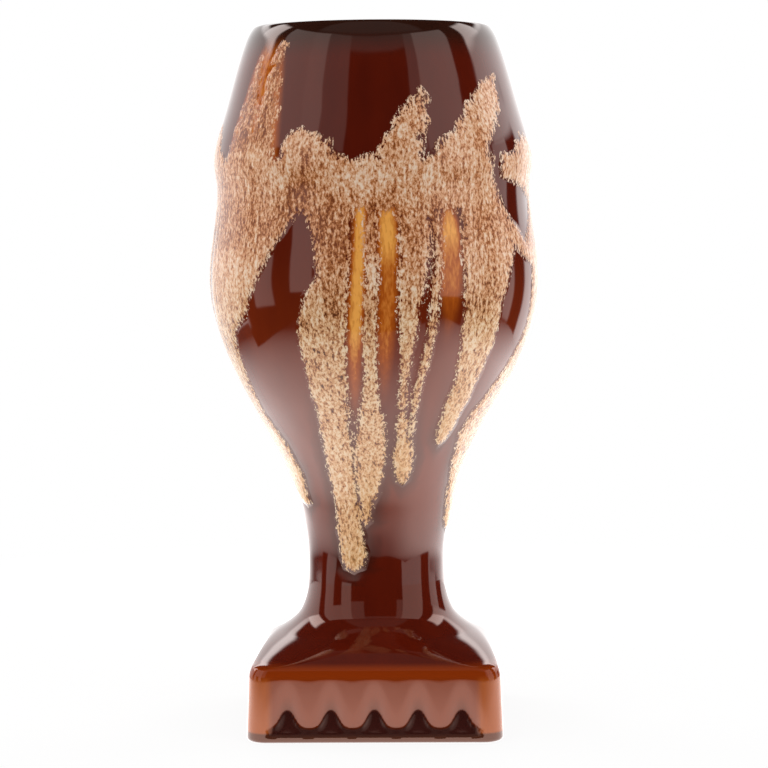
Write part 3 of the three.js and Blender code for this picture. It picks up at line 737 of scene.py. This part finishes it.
def flute_tree():
    """Geometry Nodes that press flutes, the cove along their feet and a slight dish into the plinth's faces.

    Each flute is a scoop: it deepens from its arched top down to a crest line, then comes out to the foot
    again. Below the crest line the glaze pools. A step is a name, what is done, and what it is done to.
    """
    tree = bpy.data.node_groups.new("plinth_flutes", "GeometryNodeTree")
    face = tree.interface
    face.new_socket("Geometry", in_out="INPUT", socket_type="NodeSocketGeometry")
    for label in FLUTE_SIZES:
        face.new_socket(label, in_out="INPUT", socket_type="NodeSocketFloat")
    face.new_socket("Glaze", in_out="INPUT", socket_type="NodeSocketMaterial")
    face.new_socket("Geometry", in_out="OUTPUT", socket_type="NodeSocketGeometry")
    given = add(tree, "NodeGroupInput").node.outputs
    known = {label: given[label] for label in FLUTE_SIZES}
    for name in ("across", "upright", "turned_side"):
        known[name] = add(tree, "GeometryNodeInputNamedAttribute", {"Name": name}, data_type="FLOAT")
    place = add(tree, "GeometryNodeInputPosition")
    parts = add(tree, "ShaderNodeSeparateXYZ", {0: place}).node.outputs
    known.update({axis: parts[axis] for axis in "XYZ"})

    steps = [
        # How far a place is from the middle of its flute, as a bell from 1 to 0 and a wider bell
        ("height", "DIVIDE", "Z", MM),
        ("half pitch", "MULTIPLY", "Flute Pitch", 0.5),
        ("other half", "MULTIPLY", "half pitch", -1.0),
        ("off", "WRAP", "across", "half pitch", "other half"),
        ("share", "DIVIDE", "off", "Flute Width"),
        ("square", "MULTIPLY", "share", "share"),
        ("square", "POWER", "square", 1.3),
        ("fall", "MULTIPLY", "square", -1.0),
        ("bell", "POWER", math.e, "fall"),
        ("wide", "POWER", "bell", 0.3),
        # Scoop between the foot, the crest line and the arch
        ("crest", "MULTIPLY_ADD", "bell", "Flute Rise", "Cove Crest"),
        ("arch", "MULTIPLY_ADD", "wide", "Arch Rise", "Cove Top"),
        ("deepest", "MULTIPLY_ADD", "wide", "Flute Depth", "Cove Depth"),
        ("above foot", "SUBTRACT", "height", "Cove Foot"),
        ("crest rise", "SUBTRACT", "crest", "Cove Foot"),
        ("below arch", "SUBTRACT", "arch", "height"),
        ("arch rise", "SUBTRACT", "arch", "crest"),
        ("inward", "DIVIDE", "above foot", "crest rise"),
        ("outward", "DIVIDE", "below arch", "arch rise"),
        ("scoop", "SMOOTH_MIN", "inward", "outward", "Softness"),
        ("scoop", "SMOOTH_MAX", "scoop", 0.0, 0.2),
        ("scoop", "POWER", "scoop", 1.5),
        ("depth", "MULTIPLY", "scoop", "deepest"),
        # Dish below a waved line
        ("dish", "MULTIPLY_ADD", "wide", "Dish Wave", "Dish Top"),
        ("dish", "SUBTRACT", "dish", "height"),
        ("dish", "SMOOTH_MAX", "dish", 0.0, 0.3),
        ("depth", "MULTIPLY_ADD", "dish", "Dish Slope", "depth"),
        ("edge", "SMOOTHSTEP", "above foot", -0.6, 0.2),
        ("depth", "MULTIPLY", "depth", "edge"),
        ("depth", "MULTIPLY", "depth", "upright"),
        # Pooled glaze, with a smoky fade above each crest
        ("to crest", "SUBTRACT", "crest", "height"),
        ("under", "SMOOTHSTEP", "to crest", -0.7, 0.7),
        ("over", "SMOOTHSTEP", "above foot", -0.5, 0.3),
        ("smoke", "LINEAR", "to crest", -5.0, 0.0, 0.0, 0.5),
        ("narrow", "POWER", "bell", 2.0),
        ("smoke", "MULTIPLY", "smoke", "narrow"),
        ("under", "MAXIMUM", "under", "smoke"),
        ("pool", "MULTIPLY", "under", "over"),
        ("pool", "MULTIPLY", "pool", "upright"),
        # The depth, straight into the face that the place is on
        ("step", "MULTIPLY", "depth", -MM),
        ("front", "SUBTRACT", 1.0, "turned_side"),
        ("X sign", "SIGN", "X"),
        ("Y sign", "SIGN", "Y"),
        ("X step", "MULTIPLY", "step", "turned_side"),
        ("X step", "MULTIPLY", "X step", "X sign"),
        ("Y step", "MULTIPLY", "step", "front"),
        ("Y step", "MULTIPLY", "Y step", "Y sign"),
    ]
    for name, operation, *taken in steps:
        inputs = {i: known.get(value, value) for i, value in enumerate(taken)}
        if operation in ("SMOOTHSTEP", "LINEAR"):
            known[name] = add(tree, RANGE, inputs, interpolation_type=operation)
        else:
            known[name] = add(tree, MATH, inputs, operation=operation)

    offset = add(tree, "ShaderNodeCombineXYZ", {"X": known["X step"], "Y": known["Y step"]})
    layer = {"Geometry": given["Geometry"], "Name": "pool", "Value": known["pool"]}
    stored = add(tree, "GeometryNodeStoreNamedAttribute", layer, data_type="FLOAT")
    moved = add(tree, "GeometryNodeSetPosition", {"Geometry": stored, "Offset": offset})
    real = add(tree, "GeometryNodeRealizeInstances", {"Geometry": moved})
    glazed = add(tree, "GeometryNodeSetMaterial", {"Geometry": real, "Material": given["Glaze"]})
    tree.links.new(glazed, tree.nodes.new("NodeGroupOutput").inputs["Geometry"])
    return tree


def plinth_piece(glaze):
    """The plinth with its flutes pressed in, as a plain mesh."""
    blank = plinth_blank()
    tree = flute_tree()
    modifier = blank.modifiers.new("flutes", "NODES")
    modifier.node_group = tree
    given = {**FLUTE_SIZES, "Glaze": glaze}
    for socket in tree.interface.items_tree:
        if socket.in_out == "INPUT" and socket.name in given:
            modifier[socket.identifier] = given[socket.name]
    depsgraph = bpy.context.evaluated_depsgraph_get()
    fluted = bpy.data.meshes.new_from_object(blank.evaluated_get(depsgraph))
    blank.modifiers.clear()
    blank.data = fluted
    fluted.shade_smooth()
    fluted.set_sharp_from_angle(angle=SHARP_ANGLE)
    return blank


# Materials, whose patterns are scaled by the millimetre


def glaze_base(name):
    """A new material, its nodes, its shader, and the place on the vase in millimetres."""
    material = bpy.data.materials.new(name)
    material.use_nodes = True
    tree = material.node_tree
    shader = tree.nodes["Principled BSDF"]
    place = add(tree, "ShaderNodeTexCoord", out="Object")
    in_mm = add(tree, "ShaderNodeVectorMath", {0: place, 3: 1 / MM}, operation="SCALE")
    return material, tree, shader, in_mm


def brown_colour(tree, in_mm):
    """Red-brown glaze: slow drifts, amber where it is thin, dark along the cream's edges and on the lip."""
    # Drifts about 9 mm wide and four times as tall, warmer on the belly where a painted glow stands in for
    # light bounced up from the table
    height = add(tree, "ShaderNodeSeparateXYZ", {0: in_mm}, "Z")
    drift = add(tree, MAPPING, {0: in_mm, 3: (1, 1, 0.25)})
    cloud = add(tree, NOISE, {"Vector": drift, "Scale": 0.11, "Detail": 3.0})
    deep = add(tree, MIX, {0: cloud, 6: linear("#481007"), 7: linear("#601806")}, **COLOUR)
    bounce_lit = add(tree, MIX, {0: cloud, 6: linear("#611D09"), 7: linear("#78290B")}, **COLOUR)
    low = add(tree, RANGE, {0: height, 1: 190.0, 2: 135.0}, **SMOOTH)
    stem = add(tree, RANGE, {0: height, 1: 60.0, 2: 85.0}, **SMOOTH)
    table_bounce = add(tree, MATH, {0: low, 1: stem}, operation="MULTIPLY")
    # The belly's warmer brown is painted bounce light
    brown = add(tree, MIX, {0: table_bounce, 6: deep, 7: bounce_lit}, **COLOUR)

    # Amber with threads about 1 mm wide, gold where it is thinnest
    amber = add(tree, ATTRIBUTE, out="Fac", attribute_name="amber")
    thread = add(tree, MAPPING, {0: in_mm, 3: (1, 1, 0.3)})
    streak = add(tree, NOISE, {"Vector": thread, "Scale": 1.1, "Detail": 3.0})
    uneven = add(tree, RANGE, {0: streak, 1: 0.3, 2: 0.7, 3: 0.7, 4: 1.12})
    share = add(tree, MATH, {0: amber, 1: uneven}, operation="MULTIPLY")
    thin = add(tree, RANGE, {0: share, 1: 0.0, 2: 0.5})
    gold = add(tree, RANGE, {0: share, 1: 0.4, 2: 0.86})
    colour = add(tree, MIX, {0: thin, 6: brown, 7: linear("#BC5C16")}, **COLOUR)
    colour = add(tree, MIX, {0: gold, 6: colour, 7: linear("#F6AC52")}, **COLOUR)

    halo = add(tree, ATTRIBUTE, out="Fac", attribute_name="halo")
    drawn = add(tree, MATH, {0: halo, 1: 0.65}, operation="MULTIPLY")
    colour = add(tree, MIX, {0: drawn, 6: colour, 7: linear("#33150E")}, **COLOUR)
    lip = add(tree, RANGE, {0: height, 1: 236.0, 2: 247.0, 4: 0.9}, **SMOOTH)
    return add(tree, MIX, {0: lip, 6: colour, 7: linear("#28150D")}, **COLOUR)


def ripple(tree, in_mm, height=None):
    """Normals of a poured glaze, uneven by under a tenth of a millimetre over about 14 mm."""
    wave = add(tree, NOISE, {"Vector": in_mm, "Scale": 0.07, "Detail": 1.0})
    bump = add(tree, "ShaderNodeBump", {"Strength": 0.2, "Distance": 0.0004, "Height": wave})
    if height is not None:
        grain = {"Strength": 0.4, "Distance": 0.0002, "Height": height, "Normal": bump}
        bump = add(tree, "ShaderNodeBump", grain)
    return bump


def brown_glaze():
    """Lead-rich red-brown glaze, fired glossy over slip-cast clay: deep colour under mirror reflections."""
    material, tree, shader, in_mm = glaze_base("glossy_brown_glaze")
    look = {"Base Color": brown_colour(tree, in_mm), "Roughness": GLAZE_ROUGHNESS, "IOR": GLAZE_IOR}
    feed(tree, shader, {**look, "Specular Tint": linear(GLAZE_TINT), "Normal": ripple(tree, in_mm)})
    return material


def plinth_glaze():
    """The same glaze on the plinth: it breaks to orange on edges and pools nearly black in the scoops."""
    material, tree, shader, in_mm = glaze_base("glossy_brown_glaze_on_edges")
    colour = brown_colour(tree, in_mm)
    height = add(tree, "ShaderNodeSeparateXYZ", {0: in_mm}, "Z")
    flat = add(tree, ATTRIBUTE, out="Fac", attribute_name="upright")
    face = add(tree, MIX, {0: flat, 6: linear("#9A4C1C"), 7: linear("#722B0A")}, **COLOUR)
    bands = ((28.0, 25.6, linear("#842F06")), (24.0, 20.5, face), (4.0, 3.0, linear("#4A2416")))
    for top, foot, tone in bands:
        below = add(tree, RANGE, {0: height, 1: top, 2: foot}, **SMOOTH)
        colour = add(tree, MIX, {0: below, 6: colour, 7: tone}, **COLOUR)
    pool = add(tree, ATTRIBUTE, out="Fac", attribute_name="pool")
    colour = add(tree, MIX, {0: pool, 6: colour, 7: linear("#32100C")}, **COLOUR)
    bare = add(tree, ATTRIBUTE, out="Fac", attribute_name="bare")
    colour = add(tree, MIX, {0: bare, 6: colour, 7: linear("#B98A68")}, **COLOUR)
    dull = add(tree, RANGE, {0: pool, 3: GLAZE_ROUGHNESS, 4: 0.2})
    dull = add(tree, MIX, {0: bare, 2: dull, 3: 0.8})
    look = {"Base Color": colour, "Roughness": dull, "IOR": GLAZE_IOR}
    feed(tree, shader, {**look, "Specular Tint": linear(PLINTH_TINT), "Normal": ripple(tree, in_mm)})
    return material


def cream_overglaze():
    """Cream overglaze that has crawled and run: pale flakes on orange and brown, feathered along the top."""
    material, tree, shader, in_mm = glaze_base("glossy_cream_overglaze")
    cover = add(tree, ATTRIBUTE, out="Fac", attribute_name="cover")
    height = add(tree, "ShaderNodeSeparateXYZ", {0: in_mm}, "Z")

    # Flecks about 0.8 mm wide and twice as tall, and the edge that they feather
    curled = add(tree, MAPPING, {0: in_mm, 3: (1, 1, 0.52)})
    fleck = add(tree, NOISE, {"Vector": curled, "Scale": 1.2, "Detail": 3.0, "Roughness": 0.72})
    away = add(tree, MATH, {0: fleck, 1: 0.5}, operation="SUBTRACT")
    fray = add(tree, RANGE, {0: height, 1: 140.0, 2: 180.0, 3: 8.0, 4: 14.0})
    edge = add(tree, MATH, {0: away, 1: fray, 2: cover}, operation="MULTIPLY_ADD")
    coat = add(tree, RANGE, {0: edge, 1: -0.25, 2: 0.45}, **SMOOTH)

    # Level of the cream: thin places and a painted highlight at the front of the ledge, strands under 2 mm
    # wide that follow the flow, and holes low down
    thin = add(tree, ATTRIBUTE, out="Fac", attribute_name="thin")
    level = add(tree, MATH, {0: thin, 1: -0.12, 2: fleck}, operation="MULTIPLY_ADD")
    settled = add(tree, RANGE, {0: height, 1: 175.0, 2: 135.0, 3: 0.03, 4: 0.05})
    level = add(tree, MATH, {0: level, 1: settled}, operation="ADD")
    flow = add(tree, MAPPING, {0: in_mm, 3: (1, 1, 0.1)})
    strand = add(tree, NOISE, {"Vector": flow, "Scale": 0.6, "Detail": 2.0})
    strand = add(tree, RANGE, {0: strand, 1: 0.3, 2: 0.7, 3: -0.07, 4: 0.07})
    level = add(tree, MATH, {0: level, 1: strand}, operation="ADD")
    tall = add(tree, MAPPING, {0: in_mm, 3: (1, 1, 0.36)})
    speck = add(tree, NOISE, {"Vector": tall, "Scale": 0.62, "Detail": 1.5, "Roughness": 0.6})
    hole = add(tree, RANGE, {0: speck, 1: 0.42, 2: 0.3, 4: 0.16})
    down = add(tree, RANGE, {0: height, 1: 172.0, 2: 140.0}, **SMOOTH)
    hole = add(tree, MATH, {0: hole, 1: down}, operation="MULTIPLY")
    level = add(tree, MATH, {0: level, 1: hole}, operation="SUBTRACT")

    # From dark gaps through thin orange to pale cream, yellower in the runs and honey coloured in their beads
    upper = ("#7A3A18", "#B46A36", "#D8986A", "#EABC96", "#F6DCC4")
    lower = ("#4A2412", "#9A5A2E", "#CF9463", "#E5BA8C", "#F2D8B8")
    flakes = []
    for codes in (upper, lower):
        flake = add(tree, "ShaderNodeValToRGB", {"Fac": level})
        stops = flake.node.color_ramp.elements
        stops[0].position = 0.35
        stops[0].color = linear(codes[0])
        stops[1].position = 0.69
        stops[1].color = linear(codes[4])
        for place, code in ((0.43, codes[1]), (0.5, codes[2]), (0.58, codes[3])):
            stops.new(place).color = linear(code)
        flakes.append(flake)
    flake = add(tree, MIX, {0: down, 6: flakes[0], 7: flakes[1]}, **COLOUR)
    bead = add(tree, ATTRIBUTE, out="Fac", attribute_name="bead")
    honey = add(tree, MATH, {0: bead, 1: 0.3}, operation="MULTIPLY")
    flake = add(tree, MIX, {0: honey, 6: flake, 7: linear("#D8A864")}, **COLOUR)

    brown = brown_colour(tree, in_mm)
    colour = add(tree, MIX, {0: coat, 6: brown, 7: flake}, **COLOUR)
    satin = add(tree, RANGE, {0: coat, 3: GLAZE_ROUGHNESS, 4: 0.22})
    relief = add(tree, MATH, {0: coat, 1: level}, operation="MULTIPLY")
    look = {"Base Color": colour, "Roughness": satin, "IOR": GLAZE_IOR}
    feed(tree, shader, {**look, "Specular Tint": linear(GLAZE_TINT), "Normal": ripple(tree, in_mm, relief)})
    return material


def fired_slip():
    """Fired clay slip under a wash of the brown glaze: silky, with a grain of about 0.7 mm."""
    material, tree, shader, in_mm = glaze_base("fired_clay_slip")
    grain = add(tree, NOISE, {"Vector": in_mm, "Scale": 1.5, "Detail": 4.0})
    colour = add(tree, MIX, {0: grain, 6: linear("#54281A"), 7: linear("#7C4A31")}, **COLOUR)
    feed(tree, shader, {"Base Color": colour, "Roughness": 0.45, "Normal": ripple(tree, in_mm, grain)})
    return material


# The pieces

brown = brown_glaze()
cream = cream_overglaze()

field = cream_field()
bowl = bowl_piece(field)
bowl.data.materials.append(brown)
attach(bowl, "root")
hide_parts("bowl_casting")

plinth = plinth_piece(plinth_glaze())
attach(plinth, "root")
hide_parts("plinth_casting")

slip_ring = slip_ring_piece()
slip_ring.data.materials.append(fired_slip())
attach(slip_ring, "root")
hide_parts("luting_slip")

for node_name, shell in cream_shells(field).items():
    shell.data.materials.append(cream)
    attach(shell, "root")
    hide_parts(node_name)


# Table, light and camera


def table_top():
    """White painted table lit by a painted glow, brightest round the vase and fading outwards, with the
    vase's shadow painted in front of it.
    """
    mesh = bpy.data.meshes.new("table_top")
    turns = np.radians(np.arange(0, 360, 5))
    arc = [(math.cos(t), math.sin(t)) for t in turns if math.sin(t) > 0.1]
    corners = [(TABLE_RADIUS * x, TABLE_RADIUS * y, 0.0) for x, y in arc]
    corners += [(-TABLE_HALF_WIDTH, y, 0.0) for y in (TABLE_SHOULDER, TABLE_FRONT)]
    corners += [(TABLE_HALF_WIDTH, y, 0.0) for y in (TABLE_FRONT, TABLE_SHOULDER)]
    mesh.from_pydata(corners, [], [list(range(len(corners)))])
    made = bpy.data.objects.new("table_top", mesh)
    bpy.context.scene.collection.objects.link(made)
    material = bpy.data.materials.new("white_table_glow")
    material.use_nodes = True
    tree = material.node_tree

    # Pool of light, drawn out to the back
    place = add(tree, "ShaderNodeTexCoord", out="Object")
    parts = add(tree, "ShaderNodeSeparateXYZ", {0: place}).node.outputs
    right = add(tree, MATH, {0: parts["X"], 1: 0.87, 2: -0.0435}, operation="MULTIPLY_ADD")
    back = add(tree, MATH, {0: parts["Y"], 1: 0.05}, operation="SUBTRACT")
    far = add(tree, MATH, {0: back, 1: 0.3}, operation="MULTIPLY")
    back = add(tree, MATH, {0: back, 1: far}, operation="MINIMUM")
    off = add(tree, "ShaderNodeCombineXYZ", {"X": right, "Y": back})
    reach = add(tree, "ShaderNodeVectorMath", {0: off}, "Value", operation="LENGTH")
    pool = add(tree, RANGE, {0: reach, 1: 0.36, 2: 0.18, 4: TABLE_LIGHT})

    # Shade in front of the vase
    beside = add(tree, MATH, {0: parts["X"], 1: 0.04}, operation="SUBTRACT")
    beside = add(tree, MATH, {0: beside}, operation="ABSOLUTE")
    near = add(tree, RANGE, {0: beside, 1: 0.19, 2: 0.0}, **SMOOTH)
    ahead = add(tree, RANGE, {0: parts["Y"], 1: -0.05, 2: -0.2, 4: 0.72}, **SMOOTH)
    shade = add(tree, MATH, {0: near, 1: ahead}, operation="MULTIPLY")
    clear = add(tree, MATH, {0: 1.0, 1: shade}, operation="SUBTRACT")

    # The table's glow is painted light, with the vase's shadow painted into it
    mirrored = add(tree, MATH, {0: pool, 1: clear}, operation="MULTIPLY")
    spread = add(tree, MATH, {0: mirrored, 1: TABLE_DIFFUSE}, operation="MULTIPLY")
    rays = add(tree, "ShaderNodeLightPath").node.outputs
    glow = add(tree, MIX, {0: rays["Is Glossy Ray"], 2: spread, 3: mirrored})
    glow = add(tree, MIX, {0: rays["Is Camera Ray"], 2: glow, 3: TABLE_WHITE})
    paint = {"Base Color": linear("#595959"), "Roughness": 0.9, "Specular IOR Level": 0.0}
    shine = {"Emission Color": (1, 1, 1, 1), "Emission Strength": glow}
    feed(tree, tree.nodes["Principled BSDF"], {**paint, **shine})
    mesh.materials.append(material)


def studio_world():
    """White for the camera; for the vase a dark room with soft panels at the sides and a white backdrop."""
    world = bpy.data.worlds.new("studio")
    bpy.context.scene.world = world
    world.use_nodes = True
    tree = world.node_tree
    way = add(tree, "ShaderNodeTexCoord", out="Generated")
    parts = add(tree, "ShaderNodeSeparateXYZ", {0: way}).node.outputs
    ahead = add(tree, MATH, {0: parts["Y"], 1: -1.0}, operation="MULTIPLY")
    azimuth = add(tree, MATH, {0: parts["X"], 1: ahead}, operation="ARCTAN2")
    rise = add(tree, MATH, {0: parts["Z"]}, operation="ARCSINE")
    light = DARK_ROOM
    for left, right, low, high, soft, strength in PANELS:
        mask = strength
        for angle, near, far in ((azimuth, left, right), (rise, low, high)):
            for start, end in ((near - soft, near + soft), (far + soft, far - soft)):
                marks = {0: angle, 1: math.radians(start), 2: math.radians(end)}
                side = add(tree, RANGE, marks, **SMOOTH)
                mask = add(tree, MATH, {0: side, 1: mask}, operation="MULTIPLY")
        light = add(tree, MATH, {0: mask, 1: light}, operation="ADD")
    rays = add(tree, "ShaderNodeLightPath").node.outputs
    filled = add(tree, MATH, {0: light, 1: ROOM_LIGHT}, operation="ADD")
    filled = add(tree, MIX, {0: rays["Is Glossy Ray"], 2: filled, 3: light})
    bright = add(tree, MIX, {0: rays["Is Camera Ray"], 2: filled, 3: 1.0})
    feed(tree, tree.nodes["Background"], {"Color": bright, "Strength": 1.0})


def photo_camera():
    """Long lens at the height of the shoulder, turned a little towards +X and looking slightly down."""
    azimuth = math.radians(CAMERA_AZIMUTH)
    pitch = math.radians(CAMERA_PITCH)
    roll = math.radians(CAMERA_ROLL)
    right = Vector((math.cos(azimuth), math.sin(azimuth), 0))
    level = math.cos(pitch)
    ahead = Vector((-math.sin(azimuth) * level, math.cos(azimuth) * level, -math.sin(pitch)))
    up = right.cross(ahead)
    turned_right = right * math.cos(roll) - up * math.sin(roll)
    turned_up = right * math.sin(roll) + up * math.cos(roll)
    back = (math.sin(azimuth) * CAMERA_DISTANCE, -math.cos(azimuth) * CAMERA_DISTANCE)
    place = Vector((*back, CAMERA_HEIGHT)) + right * CAMERA_ASIDE
    lens = bpy.data.cameras.new("photo_camera")
    lens.sensor_width = CAMERA_SENSOR
    lens.lens = CAMERA_LENS
    made = bpy.data.objects.new("photo_camera", lens)
    bpy.context.scene.collection.objects.link(made)
    axes = Matrix((turned_right, turned_up, -ahead)).transposed().to_4x4()
    made.matrix_world = Matrix.Translation(place) @ axes
    bpy.context.scene.camera = made


table_top()
studio_world()
photo_camera()

bpy.context.scene.view_settings.view_transform = "Standard"
